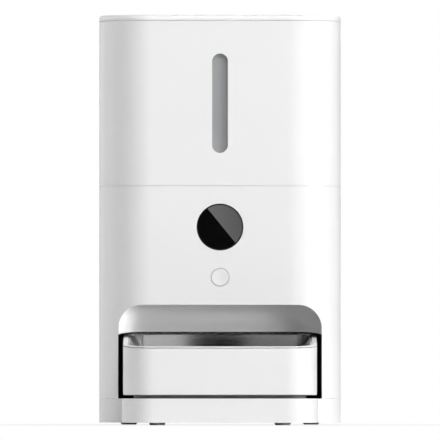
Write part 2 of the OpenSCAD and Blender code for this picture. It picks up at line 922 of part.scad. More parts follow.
// the funnel's solid: a sloping slab across the tank, drawn in to the neck
module funnel_form(inset, neck, lift) {
    hull() {
        difference() {
            intersection() {
                translate([0, 0, tank_low]) linear_extrude(far) body_plan(wall + inset, $fn = 32);
                below(y_wall, funnel_front + lift, funnel_slope);
            }
            below(y_wall, funnel_front + lift - 2, funnel_slope);
        }
        translate([0, wheel_y, z_funnel + lift / 2]) cylinder(r = neck, h = 1, $fn = 32);
    }
}

module tank_funnel() {
    color("gainsboro") difference() {
        union() {
            funnel_form(0, neck_r + 2, 0);
            translate([0, wheel_y, z_neck]) cylinder(r = neck_r, h = z_funnel + 1 - z_neck);
        }
        funnel_form(funnel_t, neck_r - neck_t, funnel_t);
        translate([0, wheel_y, z_neck - 1])
            cylinder(r = neck_r - neck_t, h = z_funnel + funnel_t - z_neck + 1);
    }
}

// ---------- lid ----------

module lid_panel() {
    w = body_w;
    d = body_d;
    r = corner_r;
    e = lid_edge_r;
    color("white") translate([0, y_mid, lid_low]) intersection() {
        union() {
            linear_extrude(lid_t - e) plan(w, d, r);
            linear_extrude(lid_t) plan(w - 2 * e, d - 2 * e, r - e);
            for (x = [-1, 1], y = [-1, 1])
                translate([x * (w / 2 - r), y * (d / 2 - r), lid_t - e])
                    rotate_extrude() translate([r - e, 0]) circle(r = e);
            for (x = [-1, 1]) translate([x * (w / 2 - e), 0, lid_t - e]) rotate([90, 0, 0])
                cylinder(r = e, h = d - 2 * r, center = true);
            for (y = [-1, 1]) translate([0, y * (d / 2 - e), lid_t - e]) rotate([0, 90, 0])
                cylinder(r = e, h = w - 2 * r, center = true);
        }
        block([-w, -d, 0], [w, d, lid_t]);
    }
}

module lid_frame() {
    inset = wall + plug_gap;
    low = lid_low - plug_h;
    color("gainsboro") {
        body_ring(low, lid_low, inset, inset + plug_t);
        // lips that hold the seal
        body_ring(low, seal_low, wall + skirt_gap, inset + slack);
        body_ring(seal_high, seal_high + seal_low - low, wall + skirt_gap, inset + slack);
        // stiffening ribs on both sides of the desiccant cup
        for (side = [-1, 1])
            translate([0, y_mid + side * (cup_r + lug_h + 2 * clear + 1), lid_low])
            translate([-body_w / 2 + inset + plug_t / 2, -1, -4])
                cube([body_w - 2 * inset - plug_t, 2, 4]);
        // collar with a bayonet groove for the cup
        translate([0, y_mid, lid_low]) difference() {
            rotate_extrude() difference() {
                translate([cup_r + clear, -plug_h]) square([lug_h + collar_t, plug_h]);
                translate([cup_r, -lug_drop - clear]) square([lug_h + clear, lug_t + 2 * clear]);
            }
            // ways in for the lugs
            for (a = [0:120:240]) rotate(a + lug_turn)
                block([cup_r - 1, -lug_w / 2 - clear, -plug_h - 1],
                      [cup_r + lug_h + clear, lug_w / 2 + clear, -lug_drop]);
        }
    }
}

module lid_seal() {
    color("lightgray") body_ring(seal_low, seal_high, wall + clear, wall + plug_gap);
}

module desiccant_cup() {
    low = lid_low - cup_h;
    color("whitesmoke") translate([0, y_mid, low]) difference() {
        union() {
            cylinder(r = cup_r, h = cup_h - clear);
            // bayonet lugs
            for (a = [0:120:240]) rotate(a) intersection() {
                translate([0, 0, cup_h - lug_drop]) cylinder(r = cup_r + lug_h, h = lug_t);
                translate([0, -lug_w / 2, 0]) cube([far, lug_w, cup_h]);
            }
        }
        translate([0, 0, cup_t]) cylinder(r = cup_r - cup_t, h = cup_h);
        // vents
        for (a = [0:30:330], r = [11, 19]) rotate(a + r * 2)
            translate([r, 0, -1]) cylinder(r = 1.6, h = 4);
        // finger bar
        for (side = [-1, 1]) translate([side * 3 - 1, -7, -1]) cube([2, 14, 4]);
    }
}

module desiccant_pack() {
    color("azure") translate([0, y_mid, lid_low - cup_h + cup_t])
        cylinder(r = cup_r - cup_t - 2 * clear, h = cup_h - 2 * cup_t);
}

// ---------- battery door ----------

module battery_door() {
    w = battery_w / 2 - clear;
    h = battery_h / 2 - clear;
    color("white") translate([battery_x, y_back, battery_z]) difference() {
        union() {
            block([-w, -wall, -h], [w, 0, h]);
            // frame that stands in the battery bay
            difference() {
                block([-w + 1, -wall - 3, -h + 1], [w - 1, -wall + slack, h - 1]);
                block([-w + 3, -wall - 4, -h + 3], [w - 3, -wall, h - 3]);
            }
        }
        // finger notch
        translate([0, 0, h]) rotate([0, 90, 0]) cylinder(r = 1.6, h = 22, center = true);
    }
}

base_shell();
base_plate();
rubber_feet();
base_screws();
main_housing();
bay_hood();
bay_liner();
bowl_pedestal();
tank_deck();
dispenser_barrel();
shaft_bushes();
food_chute();
chute_sensors();
gear_case();
feed_motor();
control_board();
window_bezel();
front_window();
camera_module();
button_board();
power_inlet();
battery_box();
battery_contacts();
feed_button();
paddle_hub();
wheel_paddles();
drive_gear();
motor_pinion();
bowl_tray();
tray_rim();
steel_bowl();
tank_shell();
tank_window();
tank_funnel();
lid_panel();
lid_frame();
lid_seal();
desiccant_cup();
desiccant_pack();
battery_door();
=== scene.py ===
"""Automatic pet feeder: finished pieces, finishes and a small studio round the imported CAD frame."""

import math

import bmesh
import bpy
from bpy.props import FloatProperty, FloatVectorProperty, PointerProperty
from bpy.types import Operator, Panel, PropertyGroup
from mathutils import Matrix, Vector


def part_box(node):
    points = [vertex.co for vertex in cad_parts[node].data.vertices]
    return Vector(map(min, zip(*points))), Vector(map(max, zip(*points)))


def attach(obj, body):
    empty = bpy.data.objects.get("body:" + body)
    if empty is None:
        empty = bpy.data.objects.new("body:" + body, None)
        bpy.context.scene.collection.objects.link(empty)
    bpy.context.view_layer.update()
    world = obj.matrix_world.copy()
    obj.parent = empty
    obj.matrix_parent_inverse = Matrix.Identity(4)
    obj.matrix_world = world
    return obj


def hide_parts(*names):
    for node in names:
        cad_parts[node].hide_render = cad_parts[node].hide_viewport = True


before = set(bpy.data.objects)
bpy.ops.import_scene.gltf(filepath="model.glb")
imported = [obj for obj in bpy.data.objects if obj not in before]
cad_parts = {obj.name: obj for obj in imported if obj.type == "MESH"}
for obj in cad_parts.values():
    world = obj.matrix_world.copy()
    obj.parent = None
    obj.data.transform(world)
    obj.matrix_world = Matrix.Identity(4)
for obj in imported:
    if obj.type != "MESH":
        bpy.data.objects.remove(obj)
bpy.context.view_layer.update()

bl_info = {
    "name": "Automatic Pet Feeder",
    "version": (1, 0, 0),
    "blender": (4, 5, 0),
    "location": "3D View > Sidebar > Feeder",
    "description": "Builds the visible pieces and finishes of an automatic pet feeder round its CAD frame",
    "category": "Object",
}

# Lengths are in metres.
QUARTER = math.pi / 2
SHARP = math.radians(32)  # an edge that turns further than this is rounded or stays sharp
LEVEL_FACE = 0.99  # least upright share of the normal of a level face
MERGE = 1e-6  # vertices closer than this are one
REACH = 0.4  # longer than anything here

# Fits and edges
SEAM = 0.0002  # seen between two shells
RUNNING_GAP = 0.0003  # between pieces that move past each other
EASED = 0.0003  # rounding of small edges
EDGE_STEPS = 3  # faces across each rounded edge
FRONT_CUT = 0.02  # how deep the openings in the housing's front are cut
ARCH_CUT = 0.0242  # how deep the arch is cut

# Finishes
GRAIN = 0.0006  # size of the grain in a mould
DRIFT = 0.012  # how far a plastic's colour wanders
BRUSHED = 40.0  # lines in a drawn metal, before they are stretched

BOWL_PROFILE = (  # how far down the bowl each step is, and its width and length there
    (0.006, 0.998, 0.9995), (0.016, 0.995, 0.9992), (0.05, 0.984, 0.999), (0.1, 0.968, 0.9988),
    (0.17, 0.946, 0.998), (0.26, 0.918, 0.9962), (0.37, 0.884, 0.991), (0.5, 0.846, 0.982),
    (0.64, 0.8, 0.962), (0.76, 0.75, 0.925), (0.86, 0.69, 0.875), (0.93, 0.625, 0.81),
    (0.975, 0.555, 0.735), (1.0, 0.46, 0.64), (1.0, 0.25, 0.35),
)
BOWL_CUTS = 23  # along each straight side of the bowl
BUTTON_DISH = ((0.0, 0.00045), (0.35, 0.0004), (0.6, 0.00022), (0.8, 0.00005))  # share of radius, depth

# Studio
MIDDLE = Vector((0, 0.02, 0.16))  # what the lamps look at
LAMP_REACH = 5.0  # from there to each lamp
# Name, azimuth and elevation in degrees, level of a white face turned to the lamp, width and height
LAMPS = (
    ("key_right", 62, 4, 0.46, (1.4, 1.0)),
    ("key_high", 40, 45, 0.30, (2.6, 2.6)),
    ("front_high", 0, 50, 0.39, (2.6, 2.6)),
    ("front_left", -30, 48, 0.06, (2.0, 2.0)),
    ("rear_left", -105, 10, 0.22, (2.6, 2.6)),
    ("back_left", -140, 10, 0.18, (2.6, 2.6)),
    ("rear_high", 160, 38, 0.26, (2.6, 2.6)),
    ("bowl_card_right", 17.4, 7, 0.030, (2.2, 1.7)),
    ("bowl_card_left", -16.7, 7, 0.011, (2.3, 1.7)),
)
BEAM_SPOT = Vector((-0.070, -0.0600, 0.0805))  # on the hood's left end
BEAM_TURN, BEAM_REACH = (80, 2), 0.3  # azimuth and elevation in degrees, and distance
BEAM_SIZE, BEAM_SPREAD = (0.020, 0.014), 4.0  # width and height, and spread in degrees
CARD = ((-0.0276, 0.0402), (0.035, -0.0366), (0.07, 0.0), (0.07, 0.07), (0.0, 0.07))
CARD_PLACE = (0, -22.5, 0.348)
CARD_FADE = (6.0, 0.0, 1.0)  # share of its level lost, per metre
FLOOR_REACH = 30.0
FLOOR_FADE = (0.25, 0.5)  # from the middle, where the seen floor turns white
FLOOR_WHITE = 0.82  # share of white under the feeder
SKY_RISE = (0.2, 0.5)  # sine of the elevations between which the mirrored ceiling rises


# ---------- settings ----------

def length(name, description, default, high=1.0):
    return FloatProperty(name=name, description=description, default=default, min=0.0, max=high,
                         precision=5, unit="LENGTH", subtype="DISTANCE")


def share(name, description, default, high=1.0):
    return FloatProperty(name=name, description=description, default=default, min=0.0, max=high,
                         precision=3, subtype="FACTOR")


def colour(name, description, default):
    return FloatVectorProperty(name=name, description=description, default=default, size=3,
                               min=0.0, max=1.0, subtype="COLOR")


class ShellSettings(PropertyGroup):
    """Sizes and colours of the white outer shells."""

    corner: length("Corner radius", "Radius of the body's upright corners", 0.040)
    nose_corner: length("Nose radius", "Radius of the nose's upright corners", 0.024)
    wall: length("Wall", "Thickness of the moulded walls", 0.0028)
    deck: length("Deck height", "Height of the base's top face above the floor", 0.0204)
    deck_sheet: length("Deck", "Thickness of the base's top face", 0.0024)
    nose_lip: length("Nose lip", "How far the nose stands out past the tray on each side", 0.001)
    skirt: length("Skirt", "Thickness of the tank's skirt", 0.0021)
    edge: length("Edge rounding", "Rounding of the edges along each seam", 0.0003)
    arch_edge: length("Arch rounding", "Rounding of the edge round the bowl's arch", 0.0006)
    lid_edge: length("Lid rounding", "Rounding of the lid's upper edge", 0.0028)
    white: colour("White", "Satin white of the outer shells", (0.915, 0.915, 0.912))
    sheen: share("Roughness", "Roughness of the outer shells", 0.36)


class BaySettings(PropertyGroup):
    """Sizes and colours of the bay over the bowl."""

    half_width: length("Half width", "From the middle of the bay to its side", 0.0784)
    top: length("Arch top", "Height of the arch's top", 0.0925)
    cove: length("Cove radius", "Rounding inside the hood and at the arch's corners", 0.0184)
    back: length("Hood back", "How far behind the front face the hood's back stands", 0.026)
    lining: length("Lining", "Thickness of the hood", 0.002)
    lower_edge: length("Lower edge", "Height of the hood's lower edge at its back", 0.0717)
    slope: FloatProperty(name="Slope", description="Rise of the hood's lower edge",
                         default=math.radians(8.5), unit="ROTATION", subtype="ANGLE")
    # The hood's white is darker than the shells' white to stand in for the shade inside the cove: painted
    # shade.
    white: colour("Hood white", "Smooth white inside the hood", (0.67, 0.67, 0.67))
    # The liner's dark grey stands in for the shade in the bay and in the gaps beside the tray: painted shade.
    liner: colour("Liner", "Dark lining behind the bowl", (0.09, 0.09, 0.093))
    # The guide's dark grey is painted shade: it stands in for the shadow under the tray.
    pedestal: colour("Pedestal", "Grey guide under the tray", (0.16, 0.16, 0.165))


class TraySettings(PropertyGroup):
    """Sizes and colours of the bowl tray."""

    corner: length("Corner radius", "Radius of the tray's upright corners", 0.023)
    wall: length("Wall", "Thickness of the tray's wall", 0.0022)
    floor: length("Floor", "Thickness of the tray's floor", 0.004)
    foot_edge: length("Foot rounding", "Rounding of the tray's lowest edge", 0.0008)
    front: length("Front height", "Height of the rim's top at the front", 0.0601)
    rear: length("Rear height", "Height of the rim's top at the back", 0.0713)
    rim: length("Rim width", "Width of the white rim round the bowl", 0.0035)
    rim_height: length("Rim height", "Thickness of the white rim", 0.0009)
    rim_skirt: length("Rim skirt", "How far down the rim stands in the tray", 0.005)
    rim_edge: length("Rim rounding", "Rounding of the rim's edges", 0.00035)
    gap: length("Rim gap", "Gap between the tray and its rim", 0.0006)
    lip: length("Lip width", "Width of the bowl's flat lip", 0.0015)
    bowl_corner: length("Bowl corner", "Radius of the corners of the bowl's lip", 0.0125)
    steel: length("Sheet", "Thickness of the steel", 0.0008)
    bowl_floor: length("Bowl floor", "Height of the bowl's floor", 0.0308)
    bow: length("Wall bow", "How far the bowl's walls curve", 0.0045)
    white: colour("Tray white", "Satin white of the tray", (0.915, 0.915, 0.912))
    metal: colour("Steel", "Colour of the steel bowl", (0.62, 0.62, 0.62))
    side_satin: share("Side satin", "Roughness that the bowl's slanting sides add", 0.36)
    floor_satin: share("Floor satin", "Roughness that the lower bowl adds", 0.2)


class FrontSettings(PropertyGroup):
    """Sizes and colours of the window, the button and the level slot."""

    window: length("Window radius", "Radius of the round window", 0.018)
    window_height: length("Window height", "Height of the round window's middle", 0.1522)
    button: length("Button radius", "Radius of the feed button", 0.00675)
    button_height: length("Button height", "Height of the feed button's middle", 0.1136)
    button_gap: length("Button gap", "Gap round the feed button", 0.00036)
    slot_width: length("Slot width", "Width of the food level slot", 0.0121)
    slot_length: length("Slot length", "Length of the food level slot", 0.0765)
    slot_height: length("Slot height", "Height of the slot's middle", 0.2474)
    black: colour("Window black", "Gloss black of the round window", (0.003, 0.003, 0.0035))
    pane: colour("Level pane", "Smoke grey of the food level pane", (0.33, 0.335, 0.34))


class StudioSettings(PropertyGroup):
    """Camera, lamps and floor."""

    camera_distance: length("Camera distance", "From the front face to the camera", 14.0, high=20.0)
    camera_height: length("Camera height", "Height of the camera", 0.03)
    aim: length("Aim", "Height the camera looks at on the front face", 0.1576)
    frame_width: length("Frame width", "Width of the picture at the front face", 0.3382)
    light: share("Lamps", "Level of all the lamps together", 1.0, 4.0)
    card: share("Card", "Level of the card that the window mirrors", 3.2, 8.0)
    ambient: share("Ambient", "Level of the light from all round", 0.01, 4.0)
    beam: share("Hood beam", "Power of the narrow light on the hood, in watts", 0.0013, 10.0)
    sky: share("Ceiling", "Level of the pale ceiling that gloss and metal mirror", 0.5, 4.0)
    floor: colour("Floor", "Colour of the floor", (0.7, 0.7, 0.7))


# ---------- finishes ----------

def operators(operation):
    """An operator of Signal that adds a Math node, and its reflected form."""
    return (lambda self, other: self.tree.maths(operation, self, other),
            lambda self, other: self.tree.maths(operation, other, self))


class Signal:
    """A number that varies over a surface; sums and products of it add Math nodes."""

    def __init__(self, tree, socket):
        self.tree = tree
        self.socket = socket

    __add__, __radd__ = operators("ADD")
    __sub__, __rsub__ = operators("SUBTRACT")
    __mul__, __rmul__ = operators("MULTIPLY")


class Tree:
    """The nodes of a material or of the world."""

    def __init__(self, tree):
        self.nodes = tree.nodes
        self.links = tree.links

    def feed(self, socket, value):
        """Sets a socket, or links it."""
        if isinstance(value, Signal):
            value = value.socket
        if isinstance(value, bpy.types.NodeSocket):
            self.links.new(value, socket)
        elif isinstance(value, (tuple, list, Vector)) and len(socket.default_value) == 4:
            socket.default_value = (*value[:3], 1.0)
        else:
            socket.default_value = value

    def node(self, kind, settings=None, sockets=None):
        """Adds a shader node: its settings first, then its sockets."""
        made = self.nodes.new("ShaderNode" + kind)
        for key, value in (settings or {}).items():
            setattr(made, key, value)
        for key, value in (sockets or {}).items():
            self.feed(made.inputs[key], value)
        return made

    def signal(self, socket):
        return Signal(self, socket)

    def maths(self, operation, first, second, clamp=False):
        made = self.node("Math", {"operation": operation, "use_clamp": clamp}, {0: first, 1: second})
        return self.signal(made.outputs[0])

    def remap(self, value, bottom, top, start=0.0, end=1.0):
        """Goes from bottom to top as a value goes from start to end."""
        made = self.node("MapRange", None, {"Value": value, "From Min": start, "From Max": end,
                                            "To Min": bottom, "To Max": top})
        return self.signal(made.outputs[0])


class Finish(Tree):
    """One material and the nodes it is made of."""

    def __init__(self, name):
        self.material = bpy.data.materials.new(name)
        self.material.use_nodes = True
        super().__init__(self.material.node_tree)
        self.shader = self.nodes["Principled BSDF"]

    def place(self, scale=(1, 1, 1), turn=(0, 0, 0)):
        """Object coordinates, turned and stretched."""
        texture = self.node("TexCoord")
        turned = self.node("Mapping", None, {"Vector": texture.outputs["Object"], "Rotation": turn,
                                             "Scale": scale})
        return turned.outputs[0]

    def noise(self, place, scale, detail, roughness=0.5):
        made = self.node("TexNoise", None, {"Vector": place, "Scale": scale, "Detail": detail,
                                            "Roughness": roughness})
        return self.signal(made.outputs["Fac"])

    def waves(self, place, scale, direction, distortion):
        made = self.node("TexWave", {"bands_direction": direction},
                         {"Vector": place, "Scale": scale, "Distortion": distortion})
        return self.signal(made.outputs["Fac"])

    def between(self, amount, first, second):
        """A colour mixed from two by an amount."""
        made = self.node("Mix", {"data_type": "RGBA"}, {0: amount, 6: first, 7: second})
        return made.outputs[2]

    def tone(self, amount, tint, dark, light):
        """A tint between a darker and a lighter shade of itself."""
        return self.between(amount, shade(tint, dark), shade(tint, light))

    def height(self, amount, strength, distance):
        """A bump from a height."""
        made = self.node("Bump", None, {"Height": amount, "Strength": strength, "Distance": distance})
        return made.outputs["Normal"]

    def glow(self, strength):
        """White light of a strength."""
        made = self.node("Emission", None, {"Color": (1.0, 1.0, 1.0), "Strength": strength})
        return made.outputs[0]

    def lay(self, **sockets):
        """Sets or links the shader's sockets, and returns the material."""
        for key, value in sockets.items():
            self.feed(self.shader.inputs[key.replace("_", " ")], value)
        return self.material

    def close(self, shader):
        """Uses another shader for the surface, and returns the material."""
        self.feed(self.nodes["Material Output"].inputs["Surface"], shader)
        return self.material


def shade(tint, factor):
    return tuple(min(1.0, c * factor) for c in tint)


def moulded(name, tint, rough, grain=0.06):
    """Moulded plastic: spark-eroded grain, slow flow marks and an uneven sheen."""
    f = Finish(name)
    at = f.place()
    flow = f.noise(at, scale=9.0, detail=3.0)
    cloud = f.noise(at, scale=45.0, detail=4.0)
    fine = f.noise(at, scale=1 / GRAIN, detail=3.0, roughness=0.6)
    mottled = cloud * 0.6 + flow * 0.4
    return f.lay(
        Base_Color=f.tone(mottled, tint, 1 - DRIFT, 1 + DRIFT),
        Roughness=rough - 0.05 + cloud * 0.06 + fine * 0.04,
        Normal=f.height(fine * 0.8 + cloud * 0.2, strength=grain, distance=0.0002),
    )


def satin_zones(f, start, full, side_satin, below, floor_satin):
    """Roughness added outside a half width, from start to full, and below a height."""
    aside = f.node("VectorMath", {"operation": "ABSOLUTE"}, {0: f.place()})
    split = f.node("SeparateXYZ", None, {0: aside.outputs[0]})
    across, up = f.signal(split.outputs[0]), f.signal(split.outputs[2])
    steep = 1 / (full - start)
    sides = f.maths("MULTIPLY", across - start, steep, clamp=True) * side_satin
    bottom = f.maths("MULTIPLY", below - up, steep, clamp=True) * floor_satin
    return f.maths("MAXIMUM", sides, bottom)


def metal(name, tint, rough, stretch=(60, 60, 4), strength=0.05, satin=None):
    """Drawn or brushed metal: fine lines one way, faint stains and, if asked for, satin zones."""
    f = Finish(name)
    added = satin_zones(f, *satin) if satin else 0.0
    lines = f.noise(f.place(stretch), scale=BRUSHED, detail=4.0, roughness=0.65)
    stain = f.noise(f.place(), scale=30.0, detail=3.0)
    return f.lay(
        Base_Color=f.tone(lines * 0.7 + stain * 0.3, tint, 0.9, 1.06),
        Metallic=1.0,
        Roughness=rough - 0.04 + lines * 0.08 + stain * 0.05 + added,
        Normal=f.height(lines, strength, distance=0.0001),
    )


def rubber(name, tint):
    """Matt rubber with a dusty bloom."""
    f = Finish(name)
    at = f.place()
    bloom = f.noise(at, scale=120.0, detail=5.0, roughness=0.6)
    fine = f.noise(at, scale=2200.0, detail=2.0)
    return f.lay(
        Base_Color=f.tone(bloom, tint, 0.86, 1.16),
        Roughness=0.67 + bloom * 0.14,
        Normal=f.height(fine * 0.6 + bloom * 0.4, strength=0.18, distance=0.0003),
    )


def silicone(name, tint):
    """Soft silicone: a little light passes into it."""
    f = Finish(name)
    at = f.place()
    cloud = f.noise(at, scale=70.0, detail=4.0)
    fine = f.noise(at, scale=1300.0, detail=2.0)
    return f.lay(
        Base_Color=f.tone(cloud, tint, 0.92, 1.07),
        Roughness=0.42 + cloud * 0.1,
        Normal=f.height(fine, strength=0.08, distance=0.0002),
        Subsurface_Weight=0.25,
        Subsurface_Radius=(0.004, 0.003, 0.002),
        Subsurface_Scale=1.0,
    )


def circuit(name, tint):
    """Solder mask over copper: tracks, pads and small printed parts."""
    f = Finish(name)
    at = f.place()
    cells = f.node("TexVoronoi", None, {"Vector": at, "Scale": 420.0})
    pads = f.maths("LESS_THAN", cells.outputs["Distance"], 0.16)
    bands = f.waves(f.place((1, 1.0, 0.35)), scale=210.0, direction="Y", distortion=3.0)
    tracks = f.maths("GREATER_THAN", bands, 0.82)
    cloud = f.noise(at, scale=60.0, detail=3.0)
    mask = f.tone(cloud, tint, 0.8, 1.15)
    lit = f.between(tracks * 0.55, mask, shade(tint, 2.1))
    metal_pads = pads * 0.9
    return f.lay(
        Base_Color=f.between(metal_pads, lit, (0.72, 0.7, 0.62)),
        Metallic=metal_pads,
        Roughness=0.34 + cloud * 0.1 - pads * 0.06,
        Normal=f.height(tracks * 0.5 + pads, strength=0.25, distance=0.00012),
    )


def cloth(name, tint):
    """Woven pouch cloth: warp and weft with loose fibres."""
    f = Finish(name)
    at = f.place()
    warp, weft = (f.waves(at, scale=320.0, direction=way, distortion=0.6) for way in "XY")
    weave = f.maths("MAXIMUM", warp * 0.9, 1 - weft)
    fibre = f.noise(at, scale=900.0, detail=4.0, roughness=0.7)
    return f.lay(
        Base_Color=f.tone(weave * 0.7 + fibre * 0.3, tint, 0.72, 1.08),
        Roughness=0.88 + fibre * 0.08,
        Normal=f.height(weave * 0.8 + fibre * 0.3, strength=0.5, distance=0.0003),
    )


def smoke_pane(name, tint):
    """Smoke-tinted pane, frosted on its inner face."""
    f = Finish(name)
    at = f.place()
    cloud = f.noise(at, scale=35.0, detail=3.0)
    fine = f.noise(at, scale=900.0, detail=2.0)
    return f.lay(
        Base_Color=f.tone(cloud, tint, 0.95, 1.05),
        Roughness=0.3 + fine * 0.05 + cloud * 0.04,
        Normal=f.height(fine, strength=0.03, distance=0.0002),
        Coat_Weight=0.35 + cloud * 0.1,
        Coat_Roughness=0.12,
    )


def gloss_black(name, tint):
    """Hard-coated black window with the faintest polish lines."""
    f = Finish(name)
    cloud = f.noise(f.place(), scale=90.0, detail=4.0)
    polish = f.noise(f.place((30, 1, 3), (0, 0.6, 0)), scale=60.0, detail=3.0)
    return f.lay(
        Base_Color=f.tone(cloud, tint, 0.8, 1.25),
        Roughness=0.001 + cloud * 0.002 + polish * 0.002,
    )


# ---------- modelling ----------

def placed(name, bm):
    """Puts a shape in the scene as an object, and uses the shape up."""
    mesh = bpy.data.meshes.new(name)
    bm.to_mesh(mesh)
    bm.free()
    made = bpy.data.objects.new(name, mesh)
    bpy.context.scene.collection.objects.link(made)
    return made


def modify(made, name, kind, **settings):
    """Adds a modifier with its settings."""
    modifier = made.modifiers.new(name, kind)
    for key, value in settings.items():
        setattr(modifier, key, value)


def only(kind, geom):
    """The vertices, edges or faces of a mixed list."""
    return [g for g in geom if isinstance(g, kind)]


def soften(bm, geom, radius, segments=4, affect="EDGES", clamp=True):
    """Rounds some edges, or the corners of a flat plan."""
    bmesh.ops.bevel(bm, geom=list(geom), offset=radius, segments=segments, profile=0.5, affect=affect,
                    clamp_overlap=clamp, material=-1)


def outward(bm):
    """Turns the faces of a closed shape outwards."""
    bmesh.ops.recalc_face_normals(bm, faces=bm.faces)
    return bm


def flat_plan(low, high, radius, level, segments=24):
    """A flat rounded rectangle between two corners."""
    bm = bmesh.new()
    ring = [bm.verts.new((x, y, level)) for x, y in
            ((low[0], low[1]), (high[0], low[1]), (high[0], high[1]), (low[0], high[1]))]
    bm.faces.new(ring)
    if radius > 0:
        soften(bm, ring, radius, segments, affect="VERTICES", clamp=False)
    return bm


def prism(low, high, radius, bottom, top, segments=24):
    """A rounded rectangle raised between two heights."""
    bm = flat_plan(low, high, radius, bottom, segments)
    made = bmesh.ops.extrude_face_region(bm, geom=list(bm.faces))
    bmesh.ops.translate(bm, verts=only(bmesh.types.BMVert, made["geom"]), vec=(0, 0, top - bottom))
    return outward(bm)


def prism_y(low, high, radius, front, back, segments):
    """A rounded rectangle in X and Z, running from front to back."""
    bm = prism(low, high, radius, -back, -front, segments)
    bmesh.ops.rotate(bm, verts=bm.verts, cent=(0, 0, 0), matrix=Matrix.Rotation(QUARTER, 3, "X"))
    return bm


def panel_y(low, high, inset, radius, front, back, segments=16):
    """A prism_y drawn in from the sides of a box."""
    return prism_y((low.x + inset, low.z + inset), (high.x - inset, high.z - inset), radius,
                   front, back, segments)


def rod_y(radius, front, back, x, z, segments=96):
    """A cylinder that runs from front to back."""
    bm = bmesh.new()
    turn = Matrix.Translation((x, (front + back) / 2, z)) @ Matrix.Rotation(QUARTER, 4, "X")
    bmesh.ops.create_cone(bm, cap_ends=True, segments=segments, radius1=radius, radius2=radius,
                          depth=back - front, matrix=turn)
    return bm


def lathe(points, middle, segments, upright=False):
    """Turns a closed profile of (radius, height) points about a front-to-back or upright axis."""
    bm = bmesh.new()
    verts = [bm.verts.new((r, 0, h)) for r, h in points]
    edges = [bm.edges.new(pair) for pair in zip(verts, verts[1:] + verts[:1])]
    bmesh.ops.spin(bm, geom=verts + edges, cent=(0, 0, 0), axis=(0, 0, 1), angle=2 * math.pi,
                   steps=segments, use_merge=True)
    bmesh.ops.remove_doubles(bm, verts=bm.verts, dist=MERGE)
    turn = Matrix.Identity(4) if upright else Matrix.Rotation(QUARTER, 4, "X")
    bmesh.ops.transform(bm, matrix=Matrix.Translation(middle) @ turn, verts=bm.verts)
    return outward(bm)


def rounded_box(low, high, radius, segments):
    """A box with every edge rounded."""
    bm = bmesh.new()
    bmesh.ops.create_cube(bm, size=1.0)
    bmesh.ops.scale(bm, vec=Vector(high) - Vector(low), verts=bm.verts)
    bmesh.ops.translate(bm, vec=(Vector(low) + Vector(high)) / 2, verts=bm.verts)
    soften(bm, bm.edges, radius, segments, clamp=False)
    return outward(bm)


def open_through(bm, wall):
    """Opens a prism through its top and bottom, and leaves a wall."""
    bm.normal_update()
    caps = [f for f in bm.faces if abs(f.normal.z) > LEVEL_FACE]
    bmesh.ops.inset_individual(bm, faces=caps, thickness=wall, use_even_offset=True)
    rims = list({e for f in caps for e in f.edges})
    bmesh.ops.delete(bm, geom=caps, context="FACES_ONLY")
    bmesh.ops.bridge_loops(bm, edges=rims)
    return outward(bm)


def joined(*shapes):
    """Several closed shapes as one mesh."""
    whole = bmesh.new()
    for bm in shapes:
        part = bpy.data.meshes.new("part")
        bm.to_mesh(part)
        bm.free()
        whole.from_mesh(part)
        bpy.data.meshes.remove(part)
    return whole


def carve(bm, tool, operation="DIFFERENCE"):
    """Cuts, joins or intersects two closed shapes."""
    objects = [placed("carve", shape) for shape in (bm, tool)]
    modify(objects[0], "carve", "BOOLEAN", operation=operation, solver="EXACT", object=objects[1])
    depsgraph = bpy.context.evaluated_depsgraph_get()
    out = bmesh.new()
    out.from_mesh(objects[0].evaluated_get(depsgraph).to_mesh())
    for o in objects:
        mesh = o.data
        bpy.data.objects.remove(o)
        bpy.data.meshes.remove(mesh)
    bmesh.ops.remove_doubles(out, verts=out.verts, dist=MERGE)
    bmesh.ops.dissolve_degenerate(out, edges=out.edges, dist=MERGE)
    return out


def cut_above(bm, point, normal):
    """Removes what lies on the normal's side of a plane, and closes the cut."""
    made = bmesh.ops.bisect_plane(bm, geom=[*bm.verts, *bm.edges, *bm.faces], plane_co=point,
                                  plane_no=normal, clear_outer=True, dist=MERGE)
    bmesh.ops.holes_fill(bm, edges=only(bmesh.types.BMEdge, made["geom_cut"]), sides=0)
    return bm


def lean(bm, verts, front, rise):
    """Shears vertices so that heights rise towards the back."""
    shear = Matrix.Identity(4)
    shear[2][1] = rise
    bmesh.ops.transform(bm, matrix=shear, verts=verts, space=Matrix.Translation((0, -front, 0)))


def push_in(bm, face, level=None, factor=(1, 1)):
    """Extrudes a face, to a level or drawn in about its middle, and returns the new face."""
    middle = face.calc_center_median()
    made = bmesh.ops.extrude_face_region(bm, geom=[face])["geom"]
    if face.is_valid:
        bmesh.ops.delete(bm, geom=[face], context="FACES_ONLY")
    verts = only(bmesh.types.BMVert, made)
    if level is not None:
        bmesh.ops.scale(bm, vec=(1, 1, 0), verts=verts, space=Matrix.Translation((0, 0, -level)))
    bmesh.ops.scale(bm, vec=(*factor, 1), verts=verts, space=Matrix.Translation(-middle))
    return only(bmesh.types.BMFace, made)[0]


def piece(name, bm, body, material, slot, *nodes, edge=0.0):
    """Makes a finished piece that rides on a body and stands for CAD nodes."""
    bmesh.ops.remove_doubles(bm, verts=bm.verts, dist=MERGE)
    outward(bm)
    for f in bm.faces:
        f.smooth = True
    made = placed(name, bm)
    made.data.materials.append(material)
    if edge > 0:
        modify(made, "rounded edges", "BEVEL", width=edge, segments=EDGE_STEPS, limit_method="ANGLE",
               angle_limit=SHARP, use_clamp_overlap=True)
    else:
        made.data.set_sharp_from_angle(angle=SHARP)
    modify(made, "even shading", "WEIGHTED_NORMAL", keep_sharp=True, weight=80)
    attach(made, body)
    if nodes:
        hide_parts(*nodes)
    return made


def shell(name, bm, body, node):
    """A piece in the satin white of the shells."""
    s = bpy.context.scene.feeder_shell
    white = bpy.data.materials.get("shell_satin_white") or moulded("shell_satin_white", s.white, s.sheen)
    piece(name, bm, body, white, "shell_white", node, edge=s.edge)


